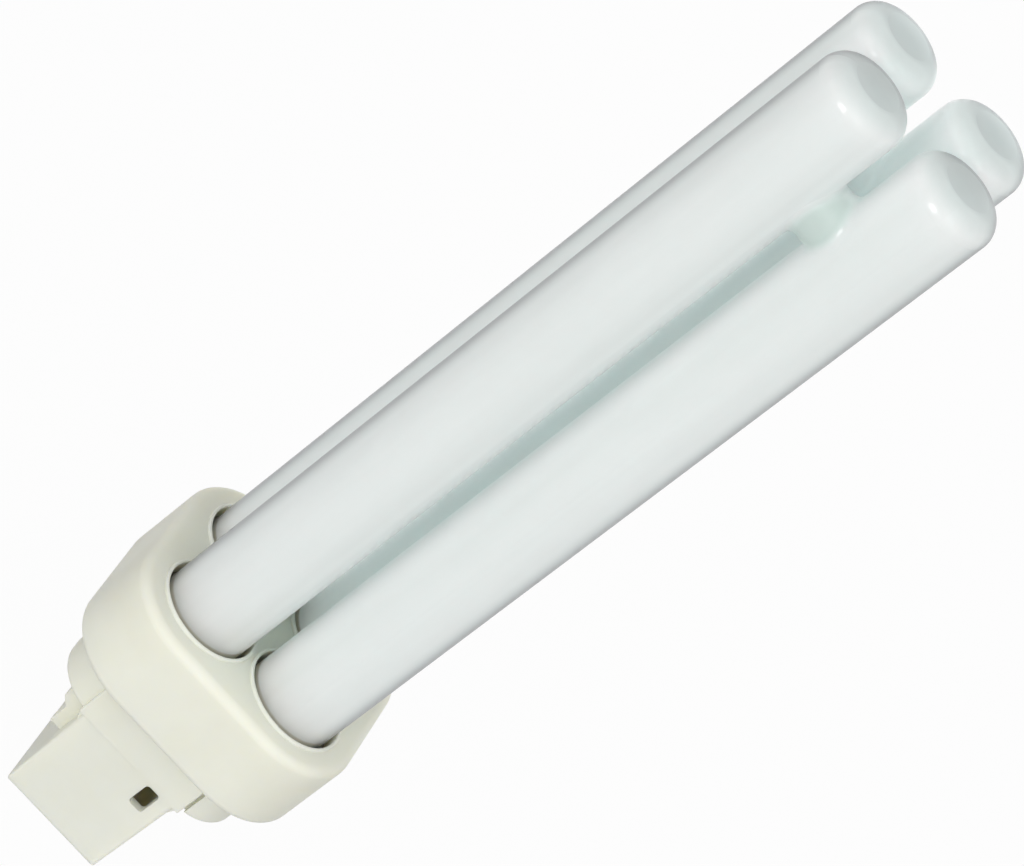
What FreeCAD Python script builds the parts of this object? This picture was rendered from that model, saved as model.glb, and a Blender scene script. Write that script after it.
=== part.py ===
import FreeCAD, Part
import math
import os

import Sketcher

# Plug-in double-U fluorescent lamp. Z runs from the plug to the tube tips, and the origin is the middle of
# the seat, the plane on which the collar rests on a lamp holder. The wide sides of the post face +X and -X.

DRIVING_SIZES = (
    # sealed glass tube
    ("tube_diameter", "12"),
    ("tube_gap", "2.3"),
    ("light_length", "119"),
    ("tip_radius", "2.8"),
    ("bridge_diameter", "7.6"),
    ("bridge_drop", "14.5"),
    ("link_height", "21"),
    ("bridge_blend", "0.8"),
    ("tube_foot", "7"),
    ("seal_width", "8"),
    ("seal_thickness", "3"),
    ("seal_corner", "1"),
    ("seal_length", "1.5"),
    # collar and the cement under its top
    ("collar_rim", "3.85"),
    ("collar_height", "12"),
    ("collar_wall", "1.6"),
    ("collar_top", "2"),
    ("collar_edge", "1.2"),
    ("collar_foot_edge", "1"),
    ("ledge_width", "0.5"),
    ("hole_clearance", "0.5"),
    ("hole_edge", "0.2"),
    ("lip_width", "0.45"),
    ("lip_height", "0.4"),
    ("lip_edge", "0.2"),
    ("cement_depth", "2.5"),
    # plug cap
    ("cap_wall", "1.3"),
    ("flange_thickness", "2"),
    ("flange_clearance", "0.1"),
    ("block_side_step", "3.4"),
    ("block_front_step", "5.2"),
    ("block_corner", "6.5"),
    ("block_drop", "7.6"),
    ("block_edge", "0.6"),
    ("core_diameter", "3.6"),
    ("pad_side_step", "5.2"),
    ("pad_proud", "0.5"),
    ("pad_corner", "0.3"),
    ("seam_width", "0.5"),
    ("seam_depth", "1.2"),
    ("post_side_step", "0.7"),
    ("post_front_step", "0.25"),
    ("post_corner", "0.6"),
    ("post_drop", "22.5"),
    ("post_draft", "1.2"),
    ("post_edge", "0.4"),
    ("root_flare", "0.6"),
    ("root_height", "3.2"),
    ("cavity_corner", "1"),
    ("rib_offset", "8.4"),
    ("rib_thickness", "1.6"),
    ("rib_reach", "2.7"),
    ("rib_toe", "1.5"),
    ("rib_shoulder", "2.2"),
    ("rib_drop", "6.2"),
    ("slot_width", "2.1"),
    ("slot_height", "3.7"),
    ("slot_drop", "0.4"),
    ("slot_inset", "2"),
    ("slot_corner", "0.5"),
    # contact pins and what surrounds them
    ("pin_inset", "1.6"),
    ("pin_diameter", "2.4"),
    ("pin_root", "2.8"),
    ("pin_length", "7"),
    ("pin_tip", "0.8"),
    ("pin_head", "0.4"),
    ("channel_room", "2.2"),
    ("boss_diameter", "5"),
    ("boss_height", "1.5"),
    # starter, capacitor and leads
    ("starter_diameter", "8.4"),
    ("starter_height", "17"),
    ("starter_dome", "2"),
    ("starter_offset", "4.8"),
    ("capacitor_width", "9"),
    ("capacitor_thickness", "4.5"),
    ("capacitor_height", "9"),
    ("capacitor_corner", "1"),
    ("capacitor_offset", "5.5"),
    ("lead_diameter", "0.6"),
    ("lead_spread", "3.5"),
    ("lead_bend", "0.6"),
    ("lead_crimp", "2.4"),
    ("stub_spread", "3"),
    ("stub_top", "1"),
    ("tie_drop", "1.5"),
)

# Sizes that follow from the driving ones
DERIVED_SIZES = (
    ("tube_pitch", "=tube_diameter + tube_gap"),
    ("half_pitch", "=tube_pitch / 2"),
    ("hole_diameter", "=tube_diameter + 2 * hole_clearance"),
    ("lip_diameter", "=hole_diameter + 2 * lip_width"),
    ("lip_top", "=collar_height + lip_height"),
    ("bridge_height", "=light_length - bridge_drop"),
    ("seal_foot", "=tube_foot - seal_length"),
    ("collar_width", "=tube_pitch + tube_diameter + 2 * collar_rim"),
    ("collar_corner", "=tube_diameter / 2 + collar_rim"),
    ("collar_bore", "=collar_width - 2 * collar_wall"),
    ("collar_bore_corner", "=collar_corner - collar_wall"),
    ("well_width", "=collar_bore - 2 * ledge_width"),
    ("well_corner", "=collar_bore_corner - ledge_width"),
    ("well_top", "=collar_height - collar_top"),
    ("flange_width", "=collar_bore - 2 * flange_clearance"),
    ("flange_corner", "=collar_bore_corner - flange_clearance"),
    ("block_width", "=collar_width - 2 * block_side_step"),
    ("block_depth", "=collar_width - 2 * block_front_step"),
    ("pad_width", "=block_width - 2 * pad_side_step"),
    ("pad_depth", "=block_depth + 2 * pad_proud"),
    ("post_width", "=pad_width - 2 * post_side_step"),
    ("post_depth", "=pad_depth - 2 * post_front_step"),
    ("boss_top", "=flange_thickness + boss_height"),
    ("pin_reach", "=block_width / 2 - pin_inset"),
    ("pin_top", "=boss_top + pin_head"),
    ("channel_radius", "=pin_diameter / 2 + channel_room"),
    ("core_shift", "=(block_corner - cap_wall - core_diameter / 2) / sqrt(2)"),
    ("core_x", "=block_width / 2 - block_corner + core_shift"),
    ("core_y", "=block_depth / 2 - block_corner + core_shift"),
    ("slot_x", "=post_width / 2 - slot_inset - slot_width / 2"),
    ("slot_z", "=-block_drop - slot_drop - slot_height / 2"),
    ("cavity_width", "=post_width - 2 * cap_wall"),
    ("cavity_depth", "=post_depth - 2 * cap_wall"),
    ("cavity_floor", "=cap_wall - post_drop"),
    ("lead_run", "=seal_foot - lead_bend"),
)

LIMBS = 4
HALF_TURNS = 2
FULL_TURN = 360  # degrees
SAME_PLACE = 1e-4  # mm, the largest distance between points that count as one

doc = FreeCAD.newDocument("PlugInLamp")
sizes = doc.addObject("Spreadsheet::Sheet", "Sizes")
for row, (alias, text) in enumerate(DRIVING_SIZES + DERIVED_SIZES, start=1):
    sizes.set("A%d" % row, alias)
    sizes.set("B%d" % row, text)
    sizes.setAlias("B%d" % row, alias)
doc.recompute()


def number(text):
    return float(sizes.evalExpression(text))


def new_body(label):
    body = doc.addObject("PartDesign::Body", label)
    body.Label = label
    return body


def origin_part(body, role):
    return next(item for item in body.Origin.OriginFeatures if item.Role == role)


def new_sketch(body, name, plane="XY_Plane", x="0", y="0", z="0"):
    sketch = body.newObject("Sketcher::SketchObject", name)
    sketch.AttachmentSupport = [(origin_part(body, plane), "")]
    sketch.MapMode = "FlatFace"
    for axis, text in (("x", x), ("y", y), ("z", z)):
        sketch.setExpression("AttachmentOffset.Base." + axis, text + " * 1 mm")
    return sketch


def bind(sketch, kind, *references, size):
    constraint = Sketcher.Constraint(kind, *references, number(size))
    index = sketch.addConstraint(constraint)
    sketch.setExpression("Constraints[%d]" % index, size)


def draw_circle(sketch, diameter):
    middle = FreeCAD.Vector(0, 0, 0)
    normal = FreeCAD.Vector(0, 0, 1)
    circle = sketch.addGeometry(Part.Circle(middle, normal, number(diameter) / 2))
    sketch.addConstraint(Sketcher.Constraint("Coincident", circle, 3, -1, 1))
    bind(sketch, "Diameter", circle, size=diameter)


def draw_rounded_rectangle(sketch, width, depth, corner):
    radius = number(corner)
    reach_x = number(width) / 2 - radius
    reach_y = number(depth) / 2 - radius
    quadrants = ((1, 1), (-1, 1), (-1, -1), (1, -1))
    arcs = []
    for turn, (side_x, side_y) in enumerate(quadrants):
        middle = FreeCAD.Vector(side_x * reach_x, side_y * reach_y, 0)
        circle = Part.Circle(middle, FreeCAD.Vector(0, 0, 1), radius)
        start = turn * math.pi / 2
        arcs.append(sketch.addGeometry(Part.ArcOfCircle(circle, start, start + math.pi / 2)))
    lines = []
    for arc, following in zip(arcs, arcs[1:] + arcs[:1]):
        start = sketch.getPoint(arc, 2)
        end = sketch.getPoint(following, 1)
        lines.append(sketch.addGeometry(Part.LineSegment(start, end)))
    for place, line in enumerate(lines):
        following = arcs[(place + 1) % len(arcs)]
        sketch.addConstraint(Sketcher.Constraint("Tangent", arcs[place], 2, line, 1))
        sketch.addConstraint(Sketcher.Constraint("Tangent", line, 2, following, 1))
        direction = "Vertical" if place % 2 else "Horizontal"
        sketch.addConstraint(Sketcher.Constraint(direction, line))
    for arc in arcs[1:]:
        sketch.addConstraint(Sketcher.Constraint("Equal", arcs[0], arc))
    sketch.addConstraint(Sketcher.Constraint("Symmetric", arcs[0], 3, arcs[2], 3, -1, 1))
    bind(sketch, "Radius", arcs[0], size=corner)
    bind(sketch, "DistanceX", lines[1], 1, lines[3], 1, size=width)
    bind(sketch, "DistanceY", lines[2], 1, lines[0], 1, size=depth)


def draw_outline(sketch, corners):
    points = [FreeCAD.Vector(number(across), number(up), 0) for across, up in corners]
    lines = []
    for start, end in zip(points, points[1:] + points[:1]):
        lines.append(sketch.addGeometry(Part.LineSegment(start, end)))
    for line, following in zip(lines, lines[1:] + lines[:1]):
        sketch.addConstraint(Sketcher.Constraint("Coincident", line, 2, following, 1))
    for line, (across, up) in zip(lines, corners):
        bind(sketch, "DistanceX", -1, 1, line, 1, size=across)
        bind(sketch, "DistanceY", -1, 1, line, 1, size=up)


def rectangle_corners(width, depth):
    half_width = "%s / 2" % width
    half_depth = "%s / 2" % depth
    low = [("-" + half_width, "-" + half_depth), (half_width, "-" + half_depth)]
    return low + [(half_width, half_depth), ("-" + half_width, half_depth)]


def draw_channel(sketch, radius, run):
    """Half circle about the sketch's origin, open towards +X for the run's length."""
    size = number(radius)
    middle = FreeCAD.Vector(0, 0, 0)
    circle = Part.Circle(middle, FreeCAD.Vector(0, 0, 1), size)
    arc = sketch.addGeometry(Part.ArcOfCircle(circle, math.pi / 2, 3 * math.pi / 2))
    far_x = number(run)
    corners = [(0, -size), (far_x, -size), (far_x, size), (0, size)]
    points = [FreeCAD.Vector(across, up, 0) for across, up in corners]
    lines = []
    for start, end in zip(points, points[1:]):
        lines.append(sketch.addGeometry(Part.LineSegment(start, end)))
    sketch.addConstraint(Sketcher.Constraint("Coincident", arc, 3, -1, 1))
    sketch.addConstraint(Sketcher.Constraint("Tangent", arc, 2, lines[0], 1))
    sketch.addConstraint(Sketcher.Constraint("Coincident", lines[0], 2, lines[1], 1))
    sketch.addConstraint(Sketcher.Constraint("Coincident", lines[1], 2, lines[2], 1))
    sketch.addConstraint(Sketcher.Constraint("Tangent", lines[2], 2, arc, 1))
    sketch.addConstraint(Sketcher.Constraint("Horizontal", lines[0]))
    sketch.addConstraint(Sketcher.Constraint("Horizontal", lines[2]))
    sketch.addConstraint(Sketcher.Constraint("Vertical", lines[1]))
    bind(sketch, "Radius", arc, size=radius)
    bind(sketch, "DistanceX", -1, 1, lines[1], 1, size=run)


def draw_elbow(sketch, low, level, reach, bend):
    """A route straight up from the low height, round a bend and level towards -X."""
    radius = number(bend)
    bend_foot = FreeCAD.Vector(0, number(level) - radius, 0)
    bend_end = FreeCAD.Vector(-radius, number(level), 0)
    middle = FreeCAD.Vector(-radius, number(level) - radius, 0)
    upright = sketch.addGeometry(Part.LineSegment(FreeCAD.Vector(0, number(low), 0), bend_foot))
    circle = Part.Circle(middle, FreeCAD.Vector(0, 0, 1), radius)
    arc = sketch.addGeometry(Part.ArcOfCircle(circle, 0, math.pi / 2))
    far_end = FreeCAD.Vector(-number(reach), number(level), 0)
    run = sketch.addGeometry(Part.LineSegment(bend_end, far_end))
    sketch.addConstraint(Sketcher.Constraint("PointOnObject", upright, 1, -2))
    sketch.addConstraint(Sketcher.Constraint("Vertical", upright))
    sketch.addConstraint(Sketcher.Constraint("Tangent", upright, 2, arc, 1))
    sketch.addConstraint(Sketcher.Constraint("Tangent", arc, 2, run, 1))
    sketch.addConstraint(Sketcher.Constraint("Horizontal", run))
    bind(sketch, "DistanceY", -1, 1, upright, 1, size=low)
    bind(sketch, "DistanceY", -1, 1, run, 2, size=level)
    bind(sketch, "DistanceX", run, 2, -1, 1, size=reach)
    bind(sketch, "Radius", arc, size=bend)


def sweep(section, route):
    body = section.getParentGeoFeatureGroup()
    pipe = body.newObject("PartDesign::AdditivePipe", section.Name + "Sweep")
    pipe.Profile = section
    pipe.Spine = (route, ["Edge1", "Edge2", "Edge3"])
    doc.recompute()
    return pipe


def extrude(kind, sketch, length, backwards=False, symmetric=False):
    body = sketch.getParentGeoFeatureGroup()
    feature = body.newObject("PartDesign::" + kind, sketch.Name + kind)
    feature.Profile = sketch
    feature.setExpression("Length", length + " * 1 mm")
    feature.Reversed = backwards
    if symmetric:
        feature.SideType = "Symmetric"
    doc.recompute()
    return feature


def mirror(features, *planes):
    """Copies features over one plane, or over each of two planes in turn."""
    body = features[0].getParentGeoFeatureGroup()
    if len(planes) == 1:
        copies = body.newObject("PartDesign::Mirrored", features[-1].Name + "Copies")
        copies.MirrorPlane = (origin_part(body, planes[0]), [""])
    else:
        copies = body.newObject("PartDesign::MultiTransform", features[-1].Name + "Copies")
        steps = []
        for plane in planes:
            step = body.newObject("PartDesign::Mirrored", features[-1].Name + plane)
            step.MirrorPlane = (origin_part(body, plane), [""])
            steps.append(step)
        copies.Transformations = steps
    copies.Originals = features
    body.Tip = copies
    doc.recompute()


def turn_copies(feature, count):
    body = feature.getParentGeoFeatureGroup()
    copies = body.newObject("PartDesign::PolarPattern", feature.Name + "Copies")
    copies.Originals = [feature]
    copies.Axis = (origin_part(body, "Z_Axis"), [""])
    copies.Angle = FULL_TURN
    copies.Occurrences = count
    body.Tip = copies
    doc.recompute()


def round_edges(body, name, radius, is_chosen):
    base = body.Tip
    names = []
    for place, edge in enumerate(base.Shape.Edges, start=1):
        if is_chosen(edge):
            names.append("Edge%d" % place)
    fillet = body.newObject("PartDesign::Fillet", name)
    fillet.Base = (base, names)
    fillet.setExpression("Radius", radius + " * 1 mm")
    doc.recompute()


def lies_at(height):
    level = number(height)
    return lambda edge: all(abs(vertex.Z - level) < SAME_PLACE for vertex in edge.Vertexes)


def is_hole_rim(edge):
    if not isinstance(edge.Curve, Part.Circle):
        return False
    at_top = abs(edge.Curve.Center.z - number("Sizes.lip_top")) < SAME_PLACE
    return at_top and abs(edge.Curve.Radius - number("Sizes.hole_diameter") / 2) < SAME_PLACE


def is_glass_seam(edge):
    """True for the closed curves along which a bridge runs into a limb."""
    return not isinstance(edge.Curve, (Part.Circle, Part.Line))


def make_discharge_tube():
    body = new_body("discharge_tube")
    limb = new_sketch(body, "Limb", x="Sizes.half_pitch", y="Sizes.half_pitch", z="Sizes.tube_foot")
    draw_circle(limb, "Sizes.tube_diameter")
    turn_copies(extrude("Pad", limb, "(Sizes.light_length - Sizes.tube_foot)"), LIMBS)
    round_edges(body, "TubeTips", "Sizes.tip_radius", lies_at("Sizes.light_length"))
    round_edges(body, "TubeFeet", "Sizes.tip_radius", lies_at("Sizes.tube_foot"))
    bridge = new_sketch(body, "Bridge", "YZ_Plane", x="-Sizes.half_pitch", y="Sizes.bridge_height")
    draw_circle(bridge, "Sizes.bridge_diameter")
    mirror([extrude("Pad", bridge, "Sizes.tube_pitch", symmetric=True)], "XZ_Plane")
    link = new_sketch(body, "Link", "XZ_Plane", x="Sizes.half_pitch", y="Sizes.link_height")
    draw_circle(link, "Sizes.bridge_diameter")
    extrude("Pad", link, "Sizes.tube_pitch", symmetric=True)
    round_edges(body, "BridgeBlends", "Sizes.bridge_blend", is_glass_seam)
    seal = new_sketch(body, "Seal", x="-Sizes.half_pitch", y="-Sizes.half_pitch", z="Sizes.seal_foot")
    draw_rounded_rectangle(seal, "Sizes.seal_width", "Sizes.seal_thickness", "Sizes.seal_corner")
    mirror([extrude("Pad", seal, "(Sizes.seal_length + Sizes.tip_radius)")], "XZ_Plane")
    return body


def make_tube_collar():
    body = new_body("tube_collar")
    cup = new_sketch(body, "Cup")
    draw_rounded_rectangle(cup, "Sizes.collar_width", "Sizes.collar_width", "Sizes.collar_corner")
    extrude("Pad", cup, "Sizes.collar_height")
    round_edges(body, "TopEdge", "Sizes.collar_edge", lies_at("Sizes.collar_height"))
    round_edges(body, "FootEdge", "Sizes.collar_foot_edge", lies_at("0"))
    well = new_sketch(body, "Well")
    draw_rounded_rectangle(well, "Sizes.well_width", "Sizes.well_width", "Sizes.well_corner")
    extrude("Pocket", well, "Sizes.well_top", backwards=True)
    seat = new_sketch(body, "FlangeSeat")
    draw_rounded_rectangle(seat, "Sizes.collar_bore", "Sizes.collar_bore", "Sizes.collar_bore_corner")
    extrude("Pocket", seat, "Sizes.flange_thickness", backwards=True)
    lip = new_sketch(body, "HoleLip", x="Sizes.half_pitch", y="Sizes.half_pitch", z="Sizes.collar_height")
    draw_circle(lip, "Sizes.lip_diameter")
    turn_copies(extrude("Pad", lip, "Sizes.lip_height"), LIMBS)
    round_edges(body, "LipEdges", "Sizes.lip_edge", lies_at("Sizes.lip_top"))
    hole = new_sketch(body, "TubeHole", x="Sizes.half_pitch", y="Sizes.half_pitch", z="Sizes.lip_top")
    draw_circle(hole, "Sizes.hole_diameter")
    turn_copies(extrude("Pocket", hole, "(Sizes.collar_top + Sizes.lip_height)"), LIMBS)
    round_edges(body, "HoleRims", "Sizes.hole_edge", is_hole_rim)
    return body


def make_tube_cement():
    body = new_body("tube_cement")
    slab = new_sketch(body, "Slab", z="Sizes.well_top")
    draw_rounded_rectangle(slab, "Sizes.well_width", "Sizes.well_width", "Sizes.well_corner")
    extrude("Pad", slab, "Sizes.cement_depth", backwards=True)
    hole = new_sketch(body, "TubePrint", x="Sizes.half_pitch", y="Sizes.half_pitch", z="Sizes.well_top")
    draw_circle(hole, "Sizes.tube_diameter")
    turn_copies(extrude("Pocket", hole, "Sizes.cement_depth"), LIMBS)
    return body


def add_cap_outside(body):
    flange = new_sketch(body, "Flange")
    draw_rounded_rectangle(flange, "Sizes.flange_width", "Sizes.flange_width", "Sizes.flange_corner")
    extrude("Pad", flange, "Sizes.flange_thickness")
    block = new_sketch(body, "Block")
    draw_rounded_rectangle(block, "Sizes.block_width", "Sizes.block_depth", "Sizes.block_corner")
    extrude("Pad", block, "Sizes.block_drop", backwards=True)
    round_edges(body, "BlockEdge", "Sizes.block_edge", lies_at("-Sizes.block_drop"))
    pads = new_sketch(body, "Pads")
    draw_rounded_rectangle(pads, "Sizes.pad_width", "Sizes.pad_depth", "Sizes.pad_corner")
    extrude("Pad", pads, "Sizes.block_drop", backwards=True)
    post = new_sketch(body, "Post", z="-Sizes.block_drop")
    draw_rounded_rectangle(post, "Sizes.post_width", "Sizes.post_depth", "Sizes.post_corner")
    stem = extrude("Pad", post, "(Sizes.post_drop - Sizes.block_drop)", backwards=True)
    stem.setExpression("TaperAngle", "-Sizes.post_draft * 1 deg")
    doc.recompute()
    round_edges(body, "PostEdge", "Sizes.post_edge", lies_at("-Sizes.post_drop"))
    add_post_root(body)
    add_key_ribs(body)


def add_post_root(body):
    """Flares the wide sides of the post into the underside of the block."""
    top = "-Sizes.block_drop"
    foot = "-Sizes.block_drop - Sizes.root_height"
    wide = "(Sizes.post_width / 2 + Sizes.root_flare)"
    narrow = "(Sizes.post_width / 2 - Sizes.root_flare)"
    flare = new_sketch(body, "PostRoot", "XZ_Plane")
    draw_outline(flare, [("-" + wide, top), (wide, top), (narrow, foot), ("-" + narrow, foot)])
    extrude("Pad", flare, "(Sizes.post_depth - 2 * Sizes.post_corner)", symmetric=True)


def add_key_ribs(body):
    """One rib at the front left and one at the rear right, so that the plug goes in either way round."""
    top = "-Sizes.block_drop + Sizes.block_edge"
    shoulder = "-Sizes.block_drop - Sizes.rib_shoulder"
    waist = "-Sizes.block_drop - Sizes.rib_shoulder - Sizes.rib_reach + Sizes.rib_toe"
    foot = "-Sizes.block_drop - Sizes.rib_drop"
    reach = "-Sizes.post_width / 2 - Sizes.rib_reach"
    toe = "-Sizes.post_width / 2 - Sizes.rib_toe"
    rib = new_sketch(body, "KeyRib", "XZ_Plane", z="Sizes.rib_offset")
    draw_outline(rib, [("0", top), (reach, top), (reach, shoulder), (toe, waist), (toe, foot), ("0", foot)])
    turn_copies(extrude("Pad", rib, "Sizes.rib_thickness", symmetric=True), HALF_TURNS)


def add_cap_pin_seats(body):
    channel = new_sketch(body, "PinChannel", x="Sizes.pin_reach")
    draw_channel(channel, "Sizes.channel_radius", "Sizes.block_width / 2")
    room = extrude("Pocket", channel, "Sizes.block_drop")
    boss = new_sketch(body, "PinBoss", x="Sizes.pin_reach", z="Sizes.flange_thickness")
    draw_circle(boss, "Sizes.boss_diameter")
    tower = extrude("Pad", boss, "Sizes.boss_height")
    hole = new_sketch(body, "PinHole", x="Sizes.pin_reach", z="Sizes.boss_top")
    draw_circle(hole, "Sizes.pin_root")
    mirror([room, tower, extrude("Pocket", hole, "Sizes.boss_top")], "YZ_Plane")


def add_cap_hollows(body):
    cavity = new_sketch(body, "Cavity", z="Sizes.flange_thickness")
    draw_rounded_rectangle(cavity, "Sizes.cavity_width", "Sizes.cavity_depth", "Sizes.cavity_corner")
    extrude("Pocket", cavity, "(Sizes.flange_thickness - Sizes.cavity_floor)")
    core = new_sketch(body, "LobeCore", x="Sizes.core_x", y="Sizes.core_y", z="Sizes.flange_thickness")
    draw_circle(core, "Sizes.core_diameter")
    core_depth = "(Sizes.flange_thickness + Sizes.block_drop - Sizes.cap_wall)"
    mirror([extrude("Pocket", core, core_depth)], "YZ_Plane", "XZ_Plane")
    seam = new_sketch(
        body,
        "PadSeam",
        x="(Sizes.pad_width + Sizes.seam_width) / 2",
        y="-(Sizes.block_depth - Sizes.seam_depth) / 2",
    )
    draw_outline(seam, rectangle_corners("Sizes.seam_width", "Sizes.seam_depth"))
    turn_copies(extrude("Pocket", seam, "Sizes.block_drop"), HALF_TURNS)
    slot = new_sketch(
        body,
        "KeySlot",
        "XZ_Plane",
        x="Sizes.slot_x",
        y="Sizes.slot_z",
        z="Sizes.post_depth / 2",
    )
    draw_rounded_rectangle(slot, "Sizes.slot_width", "Sizes.slot_height", "Sizes.slot_corner")
    turn_copies(extrude("Pocket", slot, "2 * Sizes.cap_wall"), HALF_TURNS)


def make_plug_cap():
    body = new_body("plug_cap")
    add_cap_outside(body)
    add_cap_pin_seats(body)
    add_cap_hollows(body)
    return body


def make_contact_pin(label, side):
    body = new_body(label)
    root = new_sketch(body, label + "_root")
    draw_circle(root, "Sizes.pin_root")
    extrude("Pad", root, "Sizes.pin_top")
    shank = new_sketch(body, label + "_shank")
    draw_circle(shank, "Sizes.pin_diameter")
    extrude("Pad", shank, "Sizes.pin_length", backwards=True)
    round_edges(body, label + "_tip", "Sizes.pin_tip", lies_at("-Sizes.pin_length"))
    bore = new_sketch(body, label + "_bore", z="Sizes.pin_top")
    draw_circle(bore, "Sizes.lead_diameter")
    extrude("Pocket", bore, "Sizes.lead_crimp")
    body.setExpression("Placement.Base.x", "%d * Sizes.pin_reach * 1 mm" % side)
    return body


def make_glow_starter():
    body = new_body("glow_starter")
    bottle = new_sketch(body, "Bottle", z="Sizes.cavity_floor")
    draw_circle(bottle, "Sizes.starter_diameter")
    extrude("Pad", bottle, "Sizes.starter_height")
    round_edges(body, "BottleTop", "Sizes.starter_dome", lies_at("Sizes.cavity_floor + Sizes.starter_height"))
    stub = new_sketch(
        body,
        "StarterStub",
        x="Sizes.stub_spread / 2",
        z="(Sizes.cavity_floor + Sizes.starter_height)",
    )
    draw_circle(stub, "Sizes.lead_diameter")
    rise = "(Sizes.stub_top - Sizes.cavity_floor - Sizes.starter_height)"
    mirror([extrude("Pad", stub, rise)], "YZ_Plane")
    body.setExpression("Placement.Base.y", "-Sizes.starter_offset * 1 mm")
    return body


def make_starter_capacitor():
    body = new_body("starter_capacitor")
    case = new_sketch(body, "Case", z="Sizes.cavity_floor")
    draw_rounded_rectangle(
        case, "Sizes.capacitor_width", "Sizes.capacitor_thickness", "Sizes.capacitor_corner"
    )
    extrude("Pad", case, "Sizes.capacitor_height")
    case_top = "(Sizes.cavity_floor + Sizes.capacitor_height)"
    section = new_sketch(body, "CapacitorLead", x="Sizes.stub_spread / 2", z=case_top)
    draw_circle(section, "Sizes.lead_diameter")
    route = new_sketch(body, "CapacitorRoute", "YZ_Plane", z="Sizes.stub_spread / 2")
    reach = "Sizes.capacitor_offset + Sizes.starter_offset - Sizes.lead_diameter / 2"
    draw_elbow(route, case_top, "-Sizes.tie_drop", reach, "Sizes.lead_bend")
    mirror([sweep(section, route)], "YZ_Plane")
    body.setExpression("Placement.Base.y", "Sizes.capacitor_offset * 1 mm")
    return body


def make_lead(label, seal_side, lead_side, end_x, end_y, end_z):
    """A wire from an electrode seal, level past the cap's flange, then down to its end."""
    start_x = -number("Sizes.half_pitch") + lead_side * number("Sizes.lead_spread / 2")
    start_y = seal_side * number("Sizes.half_pitch")
    run_height = number("Sizes.lead_run")
    start = FreeCAD.Vector(start_x, start_y, number("Sizes.seal_foot"))
    first_bend = FreeCAD.Vector(start_x, start_y, run_height)
    last_bend = FreeCAD.Vector(number(end_x), number(end_y), run_height)
    end = FreeCAD.Vector(number(end_x), number(end_y), number(end_z))
    bend = number("Sizes.lead_bend")
    along = (last_bend - first_bend).normalize()
    up = FreeCAD.Vector(0, 0, 1)
    diagonal = bend * (1 - math.sqrt(0.5))
    level_start = first_bend + along * bend
    level_end = last_bend - along * bend
    drop_start = last_bend - up * bend
    first_arc = Part.Arc(start, first_bend + (along + up) * diagonal, level_start)
    last_arc = Part.Arc(level_end, last_bend - (along + up) * diagonal, drop_start)
    level = Part.LineSegment(level_start, level_end)
    drop = Part.LineSegment(drop_start, end)
    route = Part.Wire([piece.toShape() for piece in (first_arc, level, last_arc, drop)])
    section = Part.Circle(start, up, number("Sizes.lead_diameter / 2")).toShape()
    wire = doc.addObject("Part::Feature", label)
    wire.Label = label
    wire.Shape = route.makePipeShell([Part.Wire(section)], True, True)
    return wire


def make_leads():
    crimp = "Sizes.pin_top - Sizes.lead_crimp"
    stub = "Sizes.stub_spread / 2"
    starter = "-Sizes.starter_offset"
    return [
        make_lead("pin_lead_left", -1, -1, "-Sizes.pin_reach", "0", crimp),
        make_lead("pin_lead_right", 1, 1, "Sizes.pin_reach", "0", crimp),
        make_lead("starter_lead_left", -1, 1, "-" + stub, starter, "Sizes.stub_top"),
        make_lead("starter_lead_right", 1, -1, stub, starter, "Sizes.stub_top"),
    ]


def check(item):
    if "Invalid" in item.State or "Error" in item.State:
        raise RuntimeError("%s did not recompute: %s" % (item.Label, item.State))


pieces = [
    make_discharge_tube(),
    make_tube_collar(),
    make_tube_cement(),
    make_plug_cap(),
    make_contact_pin("contact_pin_left", -1),
    make_contact_pin("contact_pin_right", 1),
    make_glow_starter(),
    make_starter_capacitor(),
]
pieces += make_leads()
doc.recompute()

for item in doc.Objects:
    check(item)
os.makedirs("parts", exist_ok=True)
for piece in pieces:
    if piece.Shape.isNull() or not piece.Shape.isValid() or len(piece.Shape.Solids) != 1:
        raise RuntimeError("%s is not one sound solid" % piece.Label)
    piece.Shape.exportStep(os.path.join("parts", piece.Label + ".step"))
    print("%s: %.1f mm3" % (piece.Label, piece.Shape.Volume))
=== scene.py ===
import bpy, bmesh, math
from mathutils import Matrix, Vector


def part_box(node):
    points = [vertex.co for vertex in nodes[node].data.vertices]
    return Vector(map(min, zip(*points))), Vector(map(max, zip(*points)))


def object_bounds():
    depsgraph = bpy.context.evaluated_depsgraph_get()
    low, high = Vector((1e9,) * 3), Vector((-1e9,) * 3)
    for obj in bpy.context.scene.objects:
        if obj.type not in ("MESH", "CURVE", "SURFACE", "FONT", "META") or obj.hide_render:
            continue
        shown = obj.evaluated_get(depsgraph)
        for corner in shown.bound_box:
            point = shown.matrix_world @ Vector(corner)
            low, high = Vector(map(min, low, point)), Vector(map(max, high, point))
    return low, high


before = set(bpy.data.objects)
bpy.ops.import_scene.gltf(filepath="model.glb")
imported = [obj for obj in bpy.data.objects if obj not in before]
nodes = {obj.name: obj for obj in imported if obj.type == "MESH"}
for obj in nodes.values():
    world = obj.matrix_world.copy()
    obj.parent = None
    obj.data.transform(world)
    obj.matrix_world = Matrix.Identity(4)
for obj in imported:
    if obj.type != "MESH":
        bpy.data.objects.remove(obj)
cadLow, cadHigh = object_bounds()
scene = bpy.context.scene
scene.view_settings.view_transform = "Standard"
print("frame loaded:", len(nodes), "nodes")


# small helpers for node trees

def startMaterial(name):
    material = bpy.data.materials.new(name)
    material.use_nodes = True
    tree = material.node_tree
    return material, tree, tree.nodes["Principled BSDF"]


def addNode(tree, kind, **settings):
    node = tree.nodes.new(kind)
    for key, value in settings.items():
        setattr(node, key, value)
    return node


def wire(tree, source, target):
    tree.links.new(source, target)


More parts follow.
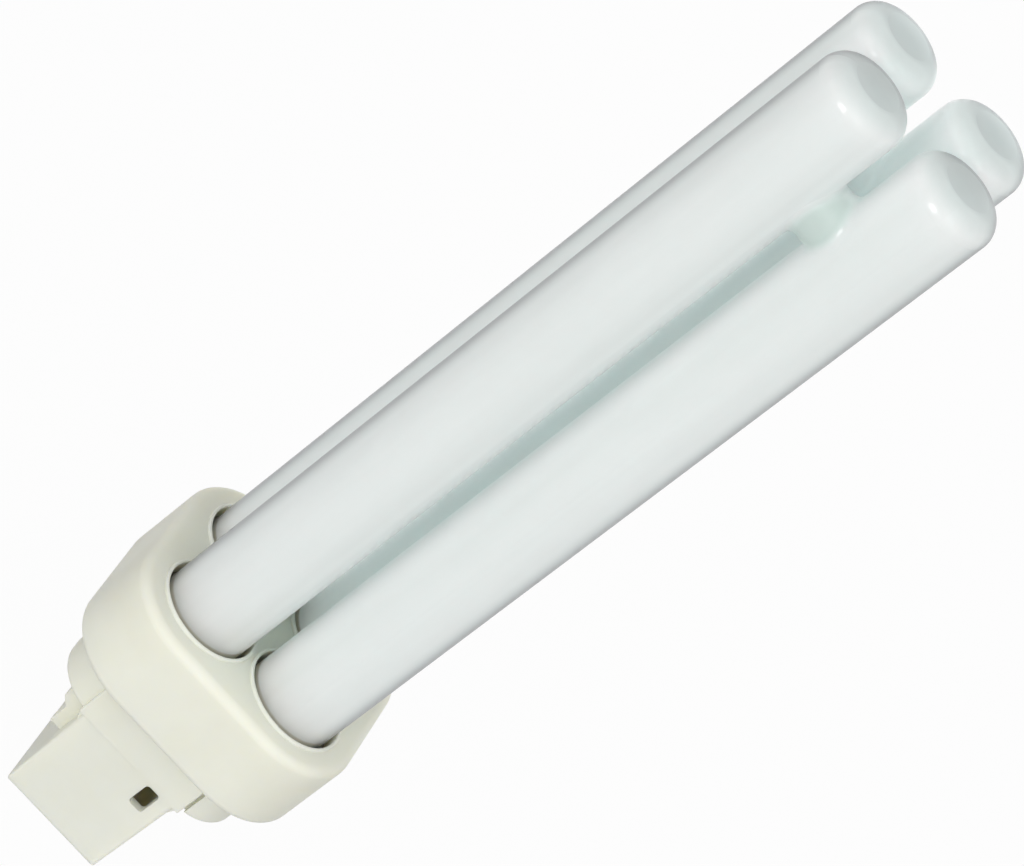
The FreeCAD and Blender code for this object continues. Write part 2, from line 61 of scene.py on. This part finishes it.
def objectPoint(tree, stretch=(1, 1, 1)):
    coords = addNode(tree, "ShaderNodeTexCoord")
    mapping = addNode(tree, "ShaderNodeMapping")
    mapping.inputs["Scale"].default_value = stretch
    wire(tree, coords.outputs["Object"], mapping.inputs["Vector"])
    return mapping.outputs["Vector"]


def noiseOf(tree, point, scale, detail=3, roughness=0.55):
    noise = addNode(tree, "ShaderNodeTexNoise")
    noise.inputs["Scale"].default_value = scale
    noise.inputs["Detail"].default_value = detail
    noise.inputs["Roughness"].default_value = roughness
    wire(tree, point, noise.inputs["Vector"])
    return noise.outputs["Fac"]


def rangeOf(tree, value, fromLow, fromHigh, toLow=0.0, toHigh=1.0, smooth=False):
    ranger = addNode(tree, "ShaderNodeMapRange")
    ranger.interpolation_type = "SMOOTHSTEP" if smooth else "LINEAR"
    limits = {"From Min": fromLow, "From Max": fromHigh, "To Min": toLow, "To Max": toHigh}
    for key, number in limits.items():
        ranger.inputs[key].default_value = number
    wire(tree, value, ranger.inputs["Value"])
    return ranger.outputs["Result"]


def mixOf(tree, share, first, second, blend="MIX"):
    mix = addNode(tree, "ShaderNodeMix", data_type="RGBA", blend_type=blend)
    for key, part in ((0, share), (6, first), (7, second)):  # a Mix node's sockets for colours
        if isinstance(part, bpy.types.NodeSocket):
            wire(tree, part, mix.inputs[key])
        elif key == 0:
            mix.inputs[key].default_value = part
        else:
            mix.inputs[key].default_value = (*part, 1)
    return mix.outputs[2]


def mixShaders(tree, share, first, second):
    mix = addNode(tree, "ShaderNodeMixShader")
    wire(tree, share, mix.inputs["Fac"])
    wire(tree, first, mix.inputs[1])
    wire(tree, second, mix.inputs[2])
    return mix.outputs["Shader"]


def bumpOn(tree, shader, height, strength, depth):
    bump = addNode(tree, "ShaderNodeBump")
    bump.inputs["Strength"].default_value = strength
    bump.inputs["Distance"].default_value = depth
    wire(tree, height, bump.inputs["Height"])
    wire(tree, bump.outputs["Normal"], shader.inputs["Normal"])


def dress(name, material):
    target = nodes[name]
    target.data.materials.clear()
    target.data.materials.append(material)


# glass limbs: a white powder coating seen through clear glass

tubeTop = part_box("discharge_tube")[1].z
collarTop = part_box("tube_collar")[1].z

coatedGlass = {
    "white": (0.730, 0.776, 0.759),
    "hollowPaintedLight": (0.84, 0.96, 0.93),       # painted light: a lighter teal tone on the sides that face the shaded space between the four limbs
    "hollowPaintedLightReach": (0.0070, 0.0088),    # distance from the lamp's axis
    "side": (0.90, 0.965, 0.95),        # painted light: a lighter teal tone on the narrow sides that two limbs turn to each other, where their shade falls
    "sidePaintedLightReach": (0.0013, 0.0042),      # distance from the nearer plane between two limbs
    "bridge": (0.58, 0.68, 0.64),       # painted shade: darker green-grey round the bridges near the tips
    "bridgeHeight": tubeTop - 0.0145,
    "bridgeSquash": (2, 0, 1),          # the painted shade is half as wide as it is high
    "bridgeReach": (0.0026, 0.0054),    # distance from a bridge's middle
    "tipPaintedShade": (0.595, 0.655, 0.64),        # painted shade: greyer flat ends, which face away from the light
    "tipPaintedShadeReach": (tubeTop - 0.0020, tubeTop),
    "foot": (0.59, 0.575, 0.49),        # painted shade: a dark ring where the limbs go into the collar
    "footReach": (collarTop - 0.00025, collarTop + 0.00015),
    "powderScale": 420,
    "powderStretch": (1, 1, 0.12),      # streaks along the limbs
    "powderReach": (0.3, 0.7),
    "cloud": 0.015,                     # unevenness of the powder
    "rimGlassAndShade": (0.235, 0.24, 0.25),         # the clear glass wall seen edge on, on the outer sides, partly painted edge shade that darkens the outer edges
    "rimReach": (0.42, 0.90),           # 0 faces the eye and 1 is edge on
    "rimFrom": (0.0014, 0.0040),        # distance from the nearer plane between two limbs
    "coat": (0.9, 0.1),                 # gloss of the clear wall, facing the eye and edge on
    "coatRoughness": 0.18,
    "roughness": 0.3,
    "shine": 0.2,
    "ior": 1.5,
    "glow": 1.0,                        # light that soaks through the milky limbs
    "glowReach": 0.020,
    "glowTint": (0.9, 1.0, 1.0),
    "waveScale": 90,
    "waveStretch": (1, 1, 0.35),
    "wave": (0.05, 0.0004),             # strength and depth of the slight waves in drawn glass
}


def betweenLimbs(tree, split):
    nearer = addNode(tree, "ShaderNodeMath", operation="MINIMUM")
    for number, axis in enumerate("XY"):
        size = addNode(tree, "ShaderNodeMath", operation="ABSOLUTE")
        wire(tree, split.outputs[axis], size.inputs[0])
        wire(tree, size.outputs["Value"], nearer.inputs[number])
    return nearer.outputs["Value"]


def offAxis(tree, split):
    flat = addNode(tree, "ShaderNodeCombineXYZ")
    for axis in "XY":
        wire(tree, split.outputs[axis], flat.inputs[axis])
    away = addNode(tree, "ShaderNodeVectorMath", operation="LENGTH")
    wire(tree, flat.outputs["Vector"], away.inputs[0])
    return away.outputs["Value"]


def limbColourAndPaintedLight(tree, look, split, parting):
    # painted light: the narrow sides that two limbs turn to each other are made lighter and teal
    offSidePaintedLight = rangeOf(tree, parting, *look["sidePaintedLightReach"], smooth=True)
    colour = mixOf(tree, offSidePaintedLight, look["side"], look["white"])
    # painted shade: darker green-grey round the bridges
    fromBridge = addNode(tree, "ShaderNodeVectorMath", operation="DISTANCE")
    fromBridge.inputs[1].default_value = (0, 0, look["bridgeHeight"])
    wire(tree, objectPoint(tree, look["bridgeSquash"]), fromBridge.inputs[0])
    offBridgePaintedShade = rangeOf(tree, fromBridge.outputs["Value"], *look["bridgeReach"], smooth=True)
    colour = mixOf(tree, offBridgePaintedShade, look["bridge"], colour)
    # painted light: the shaded hollow between the limbs is made lighter and teal
    offHollowPaintedLight = rangeOf(tree, offAxis(tree, split), *look["hollowPaintedLightReach"], smooth=True)
    colour = mixOf(tree, offHollowPaintedLight, look["hollowPaintedLight"], colour)
    # painted shade: greyer flat ends
    onTipPaintedShade = rangeOf(tree, split.outputs["Z"], *look["tipPaintedShadeReach"], smooth=True)
    colour = mixOf(tree, onTipPaintedShade, colour, look["tipPaintedShade"])
    # painted shade: dark ring where the limbs enter the collar
    offFootPaintedShade = rangeOf(tree, split.outputs["Z"], *look["footReach"], smooth=True)
    colour = mixOf(tree, offFootPaintedShade, look["foot"], colour)
    powder = noiseOf(tree, objectPoint(tree, look["powderStretch"]), look["powderScale"], detail=4)
    cloudy = rangeOf(tree, powder, *look["powderReach"], 1 - look["cloud"], 1 + look["cloud"])
    grey = addNode(tree, "ShaderNodeCombineColor")
    for channel in ("Red", "Green", "Blue"):
        wire(tree, cloudy, grey.inputs[channel])
    return mixOf(tree, 1.0, colour, grey.outputs["Color"], "MULTIPLY")


def makeCoatedGlass(look):
    material, tree, shader = startMaterial("coatedGlass")
    split = addNode(tree, "ShaderNodeSeparateXYZ")
    wire(tree, objectPoint(tree), split.inputs["Vector"])
    parting = betweenLimbs(tree, split)
    colour = limbColourAndPaintedLight(tree, look, split, parting)
    edgeOn = addNode(tree, "ShaderNodeLayerWeight")
    edgeOn.inputs["Blend"].default_value = 0.5  # Facing then follows the angle alone
    seenOnEdge = rangeOf(tree, edgeOn.outputs["Facing"], *look["rimReach"], smooth=True)
    # darker outer edges seen edge on: partly the clear wall, partly painted edge shade
    onOuterSide = rangeOf(tree, parting, *look["rimFrom"], smooth=True)
    onRim = addNode(tree, "ShaderNodeMath", operation="MULTIPLY")
    wire(tree, seenOnEdge, onRim.inputs[0])
    wire(tree, onOuterSide, onRim.inputs[1])
    wire(tree, mixOf(tree, onRim.outputs["Value"], colour, look["rimGlassAndShade"]), shader.inputs["Base Color"])
    wire(tree, rangeOf(tree, seenOnEdge, 0, 1, *look["coat"]), shader.inputs["Coat Weight"])
    shader.inputs["Coat Roughness"].default_value = look["coatRoughness"]
    shader.inputs["Roughness"].default_value = look["roughness"]
    shader.inputs["Specular IOR Level"].default_value = look["shine"]
    shader.inputs["IOR"].default_value = look["ior"]
    shader.inputs["Subsurface Weight"].default_value = look["glow"]
    shader.inputs["Subsurface Radius"].default_value = look["glowTint"]
    shader.inputs["Subsurface Scale"].default_value = look["glowReach"]
    waves = noiseOf(tree, objectPoint(tree, look["waveStretch"]), look["waveScale"], detail=2)
    bumpOn(tree, shader, waves, *look["wave"])
    return material


# moulded cream plastic of the collar and the plug

creamPlastic = {
    "cream": (0.835, 0.835, 0.725),
    "shade": (0.805, 0.800, 0.675),    # slightly yellower clouds in the moulding
    "cloudScale": 95,
    "cloudReach": (0.42, 0.78),
    "soak": 0.35,                      # light that goes a little way into the plastic
    "soakReach": 0.004,
    "soakTint": (1.0, 0.85, 0.55),
    "smearScale": 260,
    "smearReach": (0.3, 0.7),
    "roughness": (0.46, 0.60),
    "shine": 0.35,
    "grainScale": 2600,
    "grain": (0.10, 0.00005),          # strength and depth
}


def makeCreamPlastic(look):
    material, tree, shader = startMaterial("creamPlastic")
    point = objectPoint(tree)
    clouds = noiseOf(tree, point, look["cloudScale"])
    share = rangeOf(tree, clouds, *look["cloudReach"])
    wire(tree, mixOf(tree, share, look["cream"], look["shade"]), shader.inputs["Base Color"])
    shader.inputs["Subsurface Weight"].default_value = look["soak"]
    shader.inputs["Subsurface Radius"].default_value = look["soakTint"]
    shader.inputs["Subsurface Scale"].default_value = look["soakReach"]
    smears = noiseOf(tree, point, look["smearScale"], detail=4)
    rough = rangeOf(tree, smears, *look["smearReach"], *look["roughness"])
    wire(tree, rough, shader.inputs["Roughness"])
    shader.inputs["Specular IOR Level"].default_value = look["shine"]
    grain = noiseOf(tree, point, look["grainScale"], detail=2)
    bumpOn(tree, shader, grain, *look["grain"])
    return material


# what is inside: cement, pins, starter, capacitor, leads

innerLooks = {
    "cement": {
        # painted shade: the cement is dark so that the gaps round the limbs look shaded
        "low": (0.20, 0.185, 0.15), "high": (0.31, 0.29, 0.235),
        "scale": 900, "roughness": 0.9, "metal": 0.0,
    },
    "pinMetal": {
        "low": (0.66, 0.54, 0.27), "high": (0.78, 0.68, 0.42),
        "scale": 700, "roughness": 0.28, "metal": 1.0,
    },
    "starterGlass": {
        "low": (0.52, 0.57, 0.57), "high": (0.66, 0.72, 0.72),
        "scale": 300, "roughness": 0.1, "metal": 0.0,
    },
    "capacitorResin": {
        "low": (0.34, 0.13, 0.03), "high": (0.48, 0.22, 0.07),
        "scale": 500, "roughness": 0.3, "metal": 0.0,
    },
    "leadWire": {
        "low": (0.52, 0.50, 0.47), "high": (0.66, 0.64, 0.61),
        "scale": 1500, "roughness": 0.35, "metal": 1.0,
    },
}

innerMottle = {
    "reach": (0.35, 0.65),
    "grain": (0.08, 0.00005),          # strength and depth
}

innerPieces = {
    "tube_cement": "cement",
    "contact_pin_left": "pinMetal",
    "contact_pin_right": "pinMetal",
    "glow_starter": "starterGlass",
    "starter_capacitor": "capacitorResin",
    "pin_lead_left": "leadWire",
    "pin_lead_right": "leadWire",
    "starter_lead_left": "leadWire",
    "starter_lead_right": "leadWire",
}


def makeInner(name, look):
    material, tree, shader = startMaterial(name)
    mottle = noiseOf(tree, objectPoint(tree), look["scale"])
    share = rangeOf(tree, mottle, *innerMottle["reach"])
    wire(tree, mixOf(tree, share, look["low"], look["high"]), shader.inputs["Base Color"])
    shader.inputs["Roughness"].default_value = look["roughness"]
    shader.inputs["Metallic"].default_value = look["metal"]
    bumpOn(tree, shader, mottle, *innerMottle["grain"])
    return material


dress("discharge_tube", makeCoatedGlass(coatedGlass))
plastic = makeCreamPlastic(creamPlastic)
for moulding in ("tube_collar", "plug_cap"):
    dress(moulding, plastic)
innerFinish = {name: makeInner(name, look) for name, look in innerLooks.items()}
for piece, finish in innerPieces.items():
    dress(piece, innerFinish[finish])
print("materials assigned")


# pale floor and studio light

studio = {
    "floorWidth": 8.0,
    "floorDrop": 0.00005,              # the floor lies this far under the post
    "floorShade": 0.55,                # grey of the floor for the light that it throws back
    "floorWhite": 0.965,               # share of plain white in view; the rest keeps the shadow
    "worldFrom": (0.10, -0.98, 0.08),  # the side that the light comes from
    "worldReach": (-0.60, 0.08),
    "worldLight": (0.0, 0.94),         # far side and near side
}


def seenDirectly(tree):
    path = addNode(tree, "ShaderNodeLightPath")
    seen = path.outputs["Is Camera Ray"]
    for kind in ("Is Glossy Ray", "Is Transmission Ray"):
        either = addNode(tree, "ShaderNodeMath", operation="MAXIMUM")
        wire(tree, seen, either.inputs[0])
        wire(tree, path.outputs[kind], either.inputs[1])
        seen = either.outputs["Value"]
    return seen


def makePaleFloor(look):
    material = bpy.data.materials.new("paleFloor")
    material.use_nodes = True
    tree = material.node_tree
    tree.nodes.clear()
    matte = addNode(tree, "ShaderNodeBsdfDiffuse")
    matte.inputs["Color"].default_value = (look["floorShade"],) * 3 + (1,)
    white = addNode(tree, "ShaderNodeEmission")
    share = addNode(tree, "ShaderNodeMath", operation="MULTIPLY")
    share.inputs[1].default_value = look["floorWhite"]
    wire(tree, seenDirectly(tree), share.inputs[0])
    pale = mixShaders(tree, share.outputs["Value"], matte.outputs["BSDF"], white.outputs["Emission"])
    # clear from below, so that it hides nothing there
    clear = addNode(tree, "ShaderNodeBsdfTransparent")
    side = addNode(tree, "ShaderNodeNewGeometry")
    oneSided = mixShaders(tree, side.outputs["Backfacing"], pale, clear.outputs["BSDF"])
    output = addNode(tree, "ShaderNodeOutputMaterial")
    wire(tree, oneSided, output.inputs["Surface"])
    return material


def makeFloor(look):
    mesh = bpy.data.meshes.new("floor")
    bm = bmesh.new()
    bmesh.ops.create_grid(bm, x_segments=1, y_segments=1, size=look["floorWidth"] / 2)
    bmesh.ops.translate(bm, verts=bm.verts, vec=(0, 0, cadLow.z - look["floorDrop"]))
    bm.to_mesh(mesh)
    bm.free()
    mesh.materials.append(makePaleFloor(look))
    floor = bpy.data.objects.new("floor", mesh)
    scene.collection.objects.link(floor)


def makeWorld(look):
    world = bpy.data.worlds.new("studioWorld")
    world.use_nodes = True
    tree = world.node_tree
    tree.nodes.clear()
    coords = addNode(tree, "ShaderNodeTexCoord")
    toward = addNode(tree, "ShaderNodeVectorMath", operation="DOT_PRODUCT")
    toward.inputs[1].default_value = Vector(look["worldFrom"]).normalized()
    wire(tree, coords.outputs["Generated"], toward.inputs[0])
    reach = (*look["worldReach"], *look["worldLight"])
    strength = rangeOf(tree, toward.outputs["Value"], *reach, smooth=True)
    light = addNode(tree, "ShaderNodeBackground")
    white = addNode(tree, "ShaderNodeBackground")
    for background in (light, white):
        background.inputs["Color"].default_value = (1, 1, 1, 1)
    wire(tree, strength, light.inputs["Strength"])
    both = mixShaders(tree, seenDirectly(tree), light.outputs["Background"], white.outputs["Background"])
    output = addNode(tree, "ShaderNodeOutputWorld")
    wire(tree, both, output.inputs["Surface"])
    scene.world = world


softBoxes = [
    {"name": "keyBox", "place": (0.25, -0.85, 0.60), "aim": (0, 0, 0.05),
     "size": (0.5, 0.5), "watts": 0.7, "mirrored": True},
    {"name": "sparkBox", "place": (-0.40, -1.10, 0.30), "aim": (0, 0, 0.10),
     "size": (0.38, 0.38), "watts": 3.8, "mirrored": True},
    # soaks through the glass from behind, and shows in no reflection
    {"name": "backBox", "place": (0.15, 1.0, 0.06), "aim": (0, 0, 0.06),
     "size": (0.8, 0.2), "watts": 9.5, "mirrored": False},
]


def makeSoftBox(box):
    data = bpy.data.lights.new(box["name"], "AREA")
    data.shape = "RECTANGLE"
    data.size, data.size_y = box["size"]
    data.energy = box["watts"]
    lamp = bpy.data.objects.new(box["name"], data)
    lamp.location = box["place"]
    aim = Vector(box["aim"]) - Vector(box["place"])
    lamp.rotation_euler = aim.to_track_quat("-Z", "Y").to_euler()
    lamp.visible_glossy = box["mirrored"]
    scene.collection.objects.link(lamp)


makeFloor(studio)
makeWorld(studio)
for box in softBoxes:
    makeSoftBox(box)
print("studio ready")


# camera at the photograph's angle

photoCamera = {
    "place": (-0.08206, -0.48173, 0.33934),
    "turn": (46.3654, -42.9698, 23.4472),  # degrees about X, Y, Z
    "lens": 176.95,
    "sensor": 36,                          # millimetres, as the lens
    "nearest": 0.01,
}


def makeCamera(look):
    data = bpy.data.cameras.new("photoCamera")
    data.lens = look["lens"]
    data.sensor_width = look["sensor"]
    data.clip_start = look["nearest"]
    camera = bpy.data.objects.new("photoCamera", data)
    camera.location = look["place"]
    camera.rotation_euler = [math.radians(angle) for angle in look["turn"]]
    scene.collection.objects.link(camera)
    scene.camera = camera


makeCamera(photoCamera)
print("camera set")
